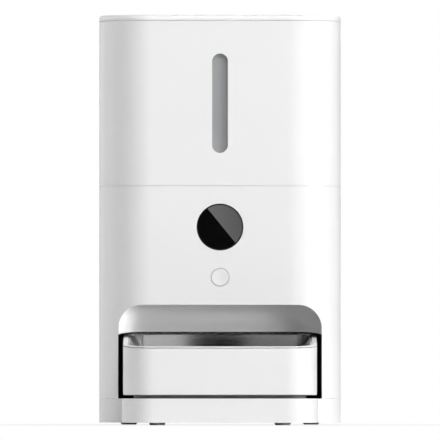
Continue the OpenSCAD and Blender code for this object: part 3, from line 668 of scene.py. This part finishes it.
def dress(material, *nodes):
    """Gives CAD nodes a finish."""
    for name in nodes:
        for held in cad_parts[name].material_slots:
            held.material = material


# ---------- pieces ----------

def base_moulding(s):
    """Body and nose in one moulding, open underneath and behind the bay."""
    low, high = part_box("base_shell")
    body_low, body_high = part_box("main_housing")
    tray_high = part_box("bowl_tray")[1]
    liner_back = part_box("bay_liner")[1].y
    nose_half = tray_high.x + s.nose_lip
    under, deck_under = low.z - s.wall, s.deck - s.deck_sheet

    def body(inset, bottom, top):
        return prism((body_low.x + inset, body_low.y + inset),
                     (body_high.x - inset, body_high.y - inset), s.corner - inset, bottom, top)

    def nose(inset, bottom, top):
        return prism((-nose_half + inset, low.y + inset), (nose_half - inset, tray_high.y - inset),
                     s.nose_corner - inset, bottom, top)

    shape = carve(body(0, low.z, s.deck - SEAM), nose(0, low.z, s.deck), "UNION")
    shape = carve(shape, body(s.wall, under, deck_under))
    shape = carve(shape, nose(s.wall, under, deck_under))
    opening = cut_above(body(s.wall, low.z, high.z), (0, liner_back, 0), (0, -1, 0))
    shell("base_moulding", carve(shape, opening), "feeder", "base_shell")


def foot_discs():
    """Four rubber discs with a rounded tread and a shallow cup."""
    low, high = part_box("rubber_feet")
    radius, cup, front_x = 0.0061, 0.0006, 0.048
    tread = [(0.0, low.z + cup), (0.0030, low.z + cup), (0.0040, low.z), (0.0053, low.z),
             (0.0059, low.z + 0.0003), (radius, low.z + 0.0009), (radius, high.z), (0.0, high.z)]
    places = (front_x, low.y + radius), (high.x - radius, high.y - radius)
    discs = [lathe(tread, (side * x, y, 0), 48, upright=True) for side in (-1, 1) for x, y in places]
    # The rubber's pale grey is raised to stand in for light that the feet miss in the shade under the body:
    # painted light.
    piece("foot_discs", joined(*discs), "feeder", rubber("foot_rubber_painted_light", (0.75, 0.75, 0.76)),
          "foot_rubber", "rubber_feet")


class FEEDER_OT_base(Operator):
    """Base shell, bottom plate, feet and screws"""

    bl_idname = "feeder.base"
    bl_label = "Base"

    def execute(self, context):
        base_moulding(context.scene.feeder_shell)
        foot_discs()
        dress(moulded("underside_grey", (0.66, 0.66, 0.67), 0.5, grain=0.12), "base_plate")
        dress(metal("screw_zinc", (0.62, 0.62, 0.6), 0.32), "base_screws")
        return {"FINISHED"}


def housing_shell(s, b, t):
    """A tube with the bowl's arch, holes for the window and the button, and openings at the rear."""
    low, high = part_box("main_housing")
    tube = open_through(prism(low, high, s.corner, low.z, high.z), s.wall)
    front, inner = low.y - s.wall, low.y + FRONT_CUT
    rear, back = high.y - 2 * s.wall, high.y + s.wall
    arch = prism_y((-b.half_width, -b.top), (b.half_width, b.top), b.cove, front, low.y + ARCH_CUT, 20)
    body = carve(tube, arch)
    body.normal_update()
    rim = [e for e in body.edges if e.calc_face_angle(0) > SHARP and e.verts[0].co.y < inner
           and all(abs(v.co.x) < b.half_width + MERGE and low.z + s.wall < v.co.z < high.z - s.wall
                   for v in e.verts)]
    soften(body, rim, s.arch_edge)
    body = carve(body, joined(
        rod_y(t.window, front, inner, 0, t.window_height),
        rod_y(t.button + t.button_gap, front, inner, 0, t.button_height),
    ))
    inlet = sum(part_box("power_inlet"), Vector()) / 2
    inlet_hole = 0.0055
    body = carve(body, joined(
        panel_y(*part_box("battery_door"), -RUNNING_GAP, 0.0, rear, back),
        rod_y(inlet_hole, rear, back, inlet.x, inlet.z),
    ))
    shell("housing_shell", body, "feeder", "main_housing")


class FEEDER_OT_housing(Operator):
    """Main housing with the bowl's arch"""

    bl_idname = "feeder.housing"
    bl_label = "Housing"

    def execute(self, context):
        s, b, t = context.scene.feeder_shell, context.scene.feeder_bay, context.scene.feeder_front
        housing_shell(s, b, t)
        return {"FINISHED"}


def battery_door(s):
    """A panel with a ribbed finger grip sunk in it, and a sleeve behind it."""
    low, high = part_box("battery_door")
    middle = (low + high) / 2
    sheet = high.y - s.wall
    grip_half, grip_top, grip_foot, grip_depth = 0.012, 0.0025, 0.0105, 0.0012
    corner, sleeve_corner, sleeve_outside, sleeve_inside = 0.0012, 0.0008, 0.001, 0.003
    ribs, rib_radius, rib_half, rib_top, rib_step = 4, 0.0005, 0.0115, 0.0041, 0.0016
    panel = panel_y(low, high, 0, corner, sheet, high.y, 8)
    grip = prism_y((middle.x - grip_half, high.z - grip_foot), (middle.x + grip_half, high.z - grip_top),
                   corner, high.y - grip_depth, high.y + s.wall, 6)
    panel = carve(panel, grip)
    sleeve = panel_y(low, high, sleeve_outside, sleeve_corner, low.y, sheet + MERGE, 6)
    hollow = panel_y(low, high, sleeve_inside, sleeve_corner, low.y - s.wall, sheet - MERGE, 6)
    bars = [rod_y(rib_radius, -rib_half, rib_half, 0, 0, 16) for _ in range(ribs)]
    for n, bar in enumerate(bars):
        spot = Matrix.Translation((middle.x, high.y - grip_depth, high.z - rib_top - n * rib_step))
        bmesh.ops.transform(bar, matrix=spot @ Matrix.Rotation(QUARTER, 4, "Z"), verts=bar.verts)
    shell("battery_door_panel", joined(panel, carve(sleeve, hollow), *bars), "door", "battery_door")


def power_inlet():
    """A round socket with its pin, on a small block."""
    low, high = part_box("power_inlet")
    middle = (low + high) / 2
    mouth, bore, depth, back, block, corner = 0.0052, 0.0034, 0.009, 0.0125, 0.0115, 0.0006
    socket = [(bore, 0.0), (bore, -depth), (0.0, -depth), (0.0, -back), (mouth, -back),
              (mouth, -EASED), (mouth - EASED, 0.0), (bore + EASED, 0.0)]
    root = -depth - 0.0005
    pin = [(0.0, -0.0016), (0.0006, -0.0018), (0.001, -0.0024), (0.001, root), (0.0, root)]
    shapes = [lathe(points, (0, 0, 0), 48) for points in (socket, pin)]
    half_turn = Matrix.Translation((middle.x, high.y, middle.z)) @ Matrix.Rotation(math.pi, 4, "Z")
    for shape in shapes:
        bmesh.ops.transform(shape, matrix=half_turn, verts=shape.verts)
    body = rounded_box(low, (high.x, high.y - block, high.z), corner, 3)
    piece("power_inlet_socket", joined(*shapes, body), "feeder",
          moulded("inlet_black", (0.02, 0.02, 0.022), 0.4), "inlet_black", "power_inlet")


class FEEDER_OT_rear(Operator):
    """Battery door and power inlet"""

    bl_idname = "feeder.rear"
    bl_label = "Rear"

    def execute(self, context):
        battery_door(context.scene.feeder_shell)
        power_inlet()
        return {"FINISHED"}


def bay_hood(s, b):
    """A hood with a coved back and ends, cut along the housing's inside and a sloping lower edge."""
    low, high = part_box("main_housing")
    inner_back = low.y + b.back
    span = 0.1  # deeper and taller than the hood, whose front and foot are cut off

    def cove(grow):
        top, back = b.top + grow, inner_back + grow
        return rounded_box((-b.half_width - grow, back - span, top - span),
                           (b.half_width + grow, back, top), b.cove + grow, 16)

    inside = prism((low.x + s.wall, low.y + s.wall), (high.x - s.wall, high.y - s.wall),
                   s.corner - s.wall, 0.0, REACH, 48)
    hood = carve(carve(cove(b.lining), inside, "INTERSECT"), cove(0))
    under = Vector((0, math.sin(b.slope), -math.cos(b.slope)))
    hood = cut_above(hood, (0, inner_back, b.lower_edge), under)
    # Its darker white is painted shade for the cove.
    smooth = moulded("hood_white_painted_shade", b.white, 0.3, grain=0.02)
    piece("bay_hood_cove", hood, "feeder", smooth, "hood_white", "bay_hood", edge=EASED)


class FEEDER_OT_bay(Operator):
    """Hood, lining and guide over and round the bowl tray"""

    bl_idname = "feeder.bay"
    bl_label = "Bay"

    def execute(self, context):
        b = context.scene.feeder_bay
        bay_hood(context.scene.feeder_shell, b)
        # Liner and chute in a dark grey that is painted shade for the bay.
        dress(moulded("bay_liner_painted_shade", b.liner, 0.6, grain=0.2), "bay_liner", "food_chute")
        # The guide's dark grey is painted shade under the tray.
        dress(moulded("guide_painted_shade", b.pedestal, 0.55, grain=0.2), "bowl_pedestal")
        return {"FINISHED"}


def tray_moulding(y, low, high, rise, white):
    """An open tray whose top edge rises towards the back, with a groove for the guide's rail."""
    edge = y.front - y.rim_height - y.gap
    bm = prism(low, high, y.corner, low.z, edge)
    lean(bm, [v for v in bm.verts if v.co.z > edge - MERGE], low.y, rise)
    soften(bm, [e for e in bm.edges if all(v.co.z < low.z + MERGE for v in e.verts)], y.foot_edge)
    top = max(bm.faces, key=lambda f: f.calc_center_median().z)
    bmesh.ops.inset_individual(bm, faces=[top], thickness=y.wall, use_even_offset=True)
    push_in(bm, top, level=low.z + y.floor)
    outward(bm)
    groove_half, groove_start = 0.0063, low.y + 0.017
    groove = prism((-groove_half, groove_start), (groove_half, high.y + y.wall), 0.0,
                   low.z - y.wall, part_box("bowl_pedestal")[1].z + RUNNING_GAP)
    piece("tray_moulding", carve(bm, groove), "tray", white, "tray_white", "bowl_tray", edge=EASED)


def tray_rim(y, low, high, rise, white):
    """A flat ring that follows the tray's sloping edge, with a skirt that stands in the tray."""
    under = y.front - y.rim_height
    ring = open_through(prism(low, high, y.corner, under, y.front), y.rim)
    inset = Vector((y.wall, y.wall, 0))
    skirt = open_through(prism(low + inset, high - inset, y.corner - y.wall, y.front - y.rim_skirt,
                               under + MERGE), y.rim - y.wall)
    bm = joined(ring, skirt)
    lean(bm, bm.verts, low.y, rise)
    piece("tray_rim_ring", bm, "tray", white, "tray_white", "tray_rim", edge=y.rim_edge)


def steel_bowl(y, low, high, rise):
    """A pressed bowl: a flat lip, slanting sides, bowed front and back walls, and a round floor."""
    level = y.front - y.gap
    inset = Vector((y.rim, y.rim, 0))
    bm = flat_plan(low + inset, high - inset, y.bowl_corner, level)
    straight = 0.02  # longer than the steps round a corner
    bmesh.ops.subdivide_edges(bm, edges=[e for e in bm.edges if e.calc_length() > straight],
                              cuts=BOWL_CUTS)
    face = bm.faces[:][0]
    bmesh.ops.inset_individual(bm, faces=[face], thickness=y.lip + y.bow, use_even_offset=True)
    middle = (low + high) / 2
    reach = (high - low) / 2 - inset - Vector((y.lip + y.bow, y.lip + y.bow, 0))
    for v in face.verts:
        v.co.x += y.bow * (v.co.x - middle.x) / reach.x
    mouth = set(face.verts)
    lip = {v for v in bm.verts if v not in mouth}
    lean(bm, bm.verts, low.y, rise)
    before = (1.0, 1.0)
    for drop, width, length_there in BOWL_PROFILE:
        face = push_in(bm, face, factor=(width / before[0], length_there / before[1]))
        before = (width, length_there)
        for v in face.verts:
            top = level + (v.co.y - low.y) * rise
            v.co.z = top + (y.bowl_floor - top) * drop
    for v in bm.verts:
        if v not in lip:
            across, along = (v.co.x - middle.x) / (reach.x + y.bow), (v.co.y - middle.y) / reach.y
            bowed = y.bow * along * max(0.0, 1 - across ** 2)
            v.co += Vector((0, bowed, bowed * rise))
    start, full, below = reach.x * 0.9, reach.x * 0.94, y.front - 0.008  # of the satin zones
    satin = (start, full, y.side_satin, below, y.floor_satin)
    steel = metal("bowl_brushed_steel", y.metal, 0.09, (2, 30, 30), strength=0.006, satin=satin)
    made = piece("steel_bowl_pressing", bm, "tray", steel, "bowl_steel", "steel_bowl")
    modify(made, "sheet", "SOLIDIFY", thickness=y.steel, offset=-1.0)
    made.modifiers.move(len(made.modifiers) - 1, 0)


class FEEDER_OT_tray(Operator):
    """Bowl tray, its rim and the steel bowl"""

    bl_idname = "feeder.tray"
    bl_label = "Bowl tray"

    def execute(self, context):
        y = context.scene.feeder_tray
        low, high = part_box("bowl_tray")
        rise = (y.rear - y.front) / (high.y - low.y)
        white = moulded("tray_satin_white", y.white, 0.36)
        tray_moulding(y, low, high, rise, white)
        tray_rim(y, low, high, rise, white)
        steel_bowl(y, low, high, rise)
        return {"FINISHED"}


def tank_moulding(s, t):
    """A tube with the level slot, and a skirt that stands in the housing."""
    low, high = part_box("tank_shell")
    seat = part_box("main_housing")[1].z + SEAM
    gap = s.wall + 0.0005  # from the outside to the skirt
    lap, hold = seat + 0.006, 0.0006  # top and width of the step that holds the skirt

    def ring(inset, corner, bottom, top, wall):
        edge = Vector((inset, inset, 0))
        return open_through(prism(low + edge, high - edge, corner, bottom, top), wall)

    tube = ring(0, s.corner, seat, high.z, s.wall)
    skirt = ring(gap, s.corner - gap, low.z, lap, s.skirt)
    step = ring(s.wall - MERGE * 10, s.corner - s.wall, seat, lap, hold)
    half_width, half_length = t.slot_width / 2, t.slot_length / 2
    slot = prism_y((-half_width, t.slot_height - half_length), (half_width, t.slot_height + half_length),
                   half_width - MERGE, low.y - s.wall, low.y + 2 * s.wall, 24)
    shell("tank_moulding", joined(carve(tube, slot), skirt, step), "tank", "tank_shell")


def lid_moulding(s):
    """A flat lid with a rounded upper edge."""
    low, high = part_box("lid_panel")
    lid = prism(low, high, s.corner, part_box("tank_shell")[1].z + SEAM, high.z, 32)
    upper = [e for e in lid.edges if all(v.co.z > high.z - MERGE for v in e.verts)]
    soften(lid, upper, s.lid_edge, 8)
    shell("lid_moulding", lid, "lid", "lid_panel")


class FEEDER_OT_tank(Operator):
    """Food tank with its level slot, and the lid"""

    bl_idname = "feeder.tank"
    bl_label = "Tank and lid"

    def execute(self, context):
        s = context.scene.feeder_shell
        tank_moulding(s, context.scene.feeder_front)
        lid_moulding(s)
        return {"FINISHED"}


def round_window(t):
    """A flat lens with an eased edge, in a narrow ring."""
    low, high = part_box("window_bezel")
    depth, recess = high.y - low.y, 0.002
    opening, hole = t.window - 0.0003, t.window - 0.003
    ring = [(opening, 0.0), (opening, -recess), (hole, -recess), (hole, -depth), (t.window, -depth),
            (t.window, 0.0)]
    piece("window_ring", lathe(ring, (0, low.y, t.window_height), 128), "feeder",
          moulded("bezel_black", (0.006, 0.006, 0.007), 0.25), "bezel_black", "window_bezel")
    low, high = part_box("front_window")
    depth, radius = high.y - low.y, opening - MERGE
    lens = [(0.0, 0.0), (radius - 0.0007, 0.0), (radius - 0.0004, 0.0), (radius - 0.0001, -0.0001),
            (radius, -0.0004), (radius, -depth), (0.0, -depth)]
    piece("window_lens", lathe(lens, (0, low.y, t.window_height), 128), "feeder",
          gloss_black("window_gloss_black", t.black), "window_black", "front_window")


def feed_button(t):
    """A cap with an eased edge and a shallow dish, its flange and its stem."""
    low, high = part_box("feed_button")
    cap, flange, stem = -0.0031, high.x, 0.0022
    under, end = cap - 0.0015, low.y - high.y
    profile = [*((t.button * across, -down) for across, down in BUTTON_DISH),
               (t.button - 0.0006, 0.0), (t.button - 0.0002, -0.0001), (t.button, -0.0004),
               (t.button, cap), (flange, cap), (flange, under), (stem, under), (stem, end), (0.0, end)]
    piece("feed_button_cap", lathe(profile, (0, low.y, t.button_height), 96), "button",
          moulded("button_satin_white", (0.9, 0.9, 0.9), 0.34), "button_white", "feed_button")


def level_pane(t):
    """A pane that laps the slot from inside."""
    low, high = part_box("tank_window")
    pane = panel_y(low, high, 0, high.x - MERGE, low.y, high.y, 24)
    smoke = smoke_pane("level_smoke_pane", t.pane)
    piece("level_pane", pane, "tank", smoke, "window_tinted", "tank_window", edge=EASED)


class FEEDER_OT_front(Operator):
    """Round window, level pane and feed button"""

    bl_idname = "feeder.front"
    bl_label = "Front"

    def execute(self, context):
        t = context.scene.feeder_front
        round_window(t)
        feed_button(t)
        level_pane(t)
        return {"FINISHED"}


class FEEDER_OT_finishes(Operator):
    """Finishes of the carried-over parts"""

    bl_idname = "feeder.finishes"
    bl_label = "Finishes"

    def execute(self, context):
        for name, tint, rough, grain, *nodes in (
            ("mechanism_grey", (0.42, 0.42, 0.44), 0.5, 0.12, "dispenser_barrel", "gear_case", "battery_box"),
            ("deck_grey", (0.55, 0.55, 0.56), 0.5, 0.12, "tank_deck"),
            ("funnel_grey", (0.6, 0.6, 0.62), 0.35, 0.05, "tank_funnel"),
            ("lid_frame_grey", (0.62, 0.62, 0.63), 0.45, 0.1, "lid_frame"),
            ("camera_black", (0.015, 0.015, 0.017), 0.35, 0.06, "camera_module"),
            ("hub_white", (0.78, 0.78, 0.77), 0.45, 0.06, "paddle_hub"),
            ("gear_ivory", (0.78, 0.72, 0.58), 0.4, 0.06, "drive_gear"),
            ("cup_white", (0.84, 0.84, 0.83), 0.42, 0.06, "desiccant_cup"),
        ):
            dress(moulded(name, tint, rough, grain), *nodes)
        dress(metal("motor_can_steel", (0.6, 0.6, 0.61), 0.3), "feed_motor")
        dress(metal("bush_brass", (0.72, 0.52, 0.24), 0.3), "shaft_bushes", "motor_pinion")
        dress(metal("contact_nickel", (0.75, 0.72, 0.64), 0.25), "battery_contacts")
        dress(silicone("paddle_silicone", (0.78, 0.36, 0.14)), "wheel_paddles")
        dress(silicone("seal_silicone", (0.62, 0.63, 0.64)), "lid_seal")
        dress(circuit("board_green", (0.01, 0.09, 0.035)), "control_board", "button_board", "chute_sensors")
        dress(cloth("pouch_cloth", (0.82, 0.83, 0.8)), "desiccant_pack")
        return {"FINISHED"}


def studio_camera(scene, s):
    """A camera far in front of the feeder, low down and tilted up a little."""
    camera = bpy.data.objects.new("studio_camera", bpy.data.cameras.new("studio_camera"))
    scene.collection.objects.link(camera)
    camera.location = (0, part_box("main_housing")[0].y - s.camera_distance, s.camera_height)
    camera.rotation_euler = (QUARTER + math.atan2(s.aim - s.camera_height, s.camera_distance), 0, 0)
    camera.data.lens = camera.data.sensor_width * s.camera_distance / s.frame_width
    camera.data.clip_end = 100.0
    scene.camera = camera


def studio_lamp(scene, name, spot, turn, reach, power, size):
    """A rectangular lamp turned to a spot, from an azimuth and elevation in degrees."""
    light = bpy.data.lights.new(name, "AREA")
    light.shape = "RECTANGLE"
    light.size, light.size_y = size
    light.energy = power
    made = bpy.data.objects.new(name, light)
    a, e = math.radians(turn[0]), math.radians(turn[1])
    away = Vector((math.sin(a) * math.cos(e), -math.cos(a) * math.cos(e), math.sin(e)))
    made.location = spot + away * reach
    made.rotation_euler = (QUARTER - e, 0, a)
    made.visible_camera = False
    scene.collection.objects.link(made)
    return made


def window_card(s):
    """A grey card far in front, which the round window mirrors."""
    bm = bmesh.new()
    bm.faces.new([bm.verts.new((x, 0, z)) for x, z in CARD])
    made = placed("window_card", bm)
    made.location = CARD_PLACE
    made.visible_camera = False
    made.visible_diffuse = False
    made.visible_shadow = False
    f = Finish("window_card")
    aside = f.node("VectorMath", {"operation": "DOT_PRODUCT"}, {0: f.place(), 1: CARD_FADE})
    fade = s.card * (1 - f.signal(aside.outputs["Value"]))
    made.data.materials.append(f.close(f.glow(fade)))


def studio_floor(s):
    """A pale floor that meets a white distance and keeps the shadow."""
    bm = bmesh.new()
    bmesh.ops.create_grid(bm, x_segments=8, y_segments=8, size=FLOOR_REACH)
    made = placed("studio_floor", bm)
    f = Finish("studio_floor")
    f.lay(Base_Color=tuple(s.floor), Roughness=0.9, Specular_IOR_Level=0.0)
    path = f.node("LightPath")
    far = f.node("VectorMath", {"operation": "LENGTH"}, {0: f.place()})
    away = f.remap(far.outputs["Value"], FLOOR_WHITE, 1.0, *FLOOR_FADE)
    seen = f.signal(path.outputs["Is Camera Ray"]) * away
    both = f.node("MixShader", None, {0: seen, 1: f.shader.outputs[0], 2: f.glow(1.0)})
    made.data.materials.append(f.close(both.outputs[0]))


def studio_world(scene, s):
    """A white distance, a pale ceiling for gloss and metal, and a low even light."""
    scene.world = bpy.data.worlds.new("studio_world")
    scene.world.use_nodes = True
    w = Tree(scene.world.node_tree)
    path = w.node("LightPath").outputs
    ways = w.node("TexCoord")
    split = w.node("SeparateXYZ", None, {0: ways.outputs["Generated"]})
    above = w.remap(split.outputs["Z"], s.ambient, s.sky, *SKY_RISE)
    mirrored = w.remap(path["Is Glossy Ray"], s.ambient, above)
    through = w.remap(path["Is Transmission Ray"], mirrored, 1.0)
    back = w.nodes["Background"].inputs
    w.feed(back["Color"], (1.0, 1.0, 1.0))
    w.feed(back["Strength"], w.remap(path["Is Camera Ray"], through, 1.0))


class FEEDER_OT_stage(Operator):
    """Floor, lamps and camera"""

    bl_idname = "feeder.stage"
    bl_label = "Studio"

    def execute(self, context):
        scene = context.scene
        s = scene.feeder_studio
        scene.view_settings.view_transform = "Standard"
        studio_camera(scene, s)
        studio_floor(s)
        studio_world(scene, s)
        for name, azimuth, elevation, level, size in LAMPS:
            power = level * s.light * math.pi ** 2 * LAMP_REACH ** 2
            studio_lamp(scene, name, MIDDLE, (azimuth, elevation), LAMP_REACH, power, size)
        window_card(s)
        beam = studio_lamp(scene, "hood_beam", BEAM_SPOT, BEAM_TURN, BEAM_REACH, s.beam, BEAM_SIZE)
        beam.data.spread = math.radians(BEAM_SPREAD)
        beam.visible_glossy = False
        return {"FINISHED"}


PIECES = (FEEDER_OT_base, FEEDER_OT_housing, FEEDER_OT_rear, FEEDER_OT_bay, FEEDER_OT_tray, FEEDER_OT_tank,
          FEEDER_OT_front, FEEDER_OT_finishes, FEEDER_OT_stage)
GROUPS = {"feeder_shell": ShellSettings, "feeder_bay": BaySettings, "feeder_tray": TraySettings,
          "feeder_front": FrontSettings, "feeder_studio": StudioSettings}


class FEEDER_PT_pieces(Panel):
    """Lists the feeder's settings and pieces"""

    bl_idname = "FEEDER_PT_pieces"
    bl_label = "Pet feeder"
    bl_space_type = "VIEW_3D"
    bl_region_type = "UI"
    bl_category = "Feeder"

    def draw(self, context):
        for operator in PIECES:
            self.layout.operator(operator.bl_idname)
        for name, group in GROUPS.items():
            box = self.layout.box()
            for field in group.__annotations__:
                box.prop(getattr(context.scene, name), field)


def register():
    for cls in (*GROUPS.values(), *PIECES, FEEDER_PT_pieces):
        bpy.utils.register_class(cls)
    for name, group in GROUPS.items():
        setattr(bpy.types.Scene, name, PointerProperty(type=group))


def unregister():
    for name in GROUPS:
        delattr(bpy.types.Scene, name)
    for cls in (FEEDER_PT_pieces, *reversed(PIECES), *reversed(list(GROUPS.values()))):
        bpy.utils.unregister_class(cls)


def main():
    register()
    for operator in PIECES:
        group, name = operator.bl_idname.split(".")
        getattr(getattr(bpy.ops, group), name)()


if __name__ == "__main__":
    main()
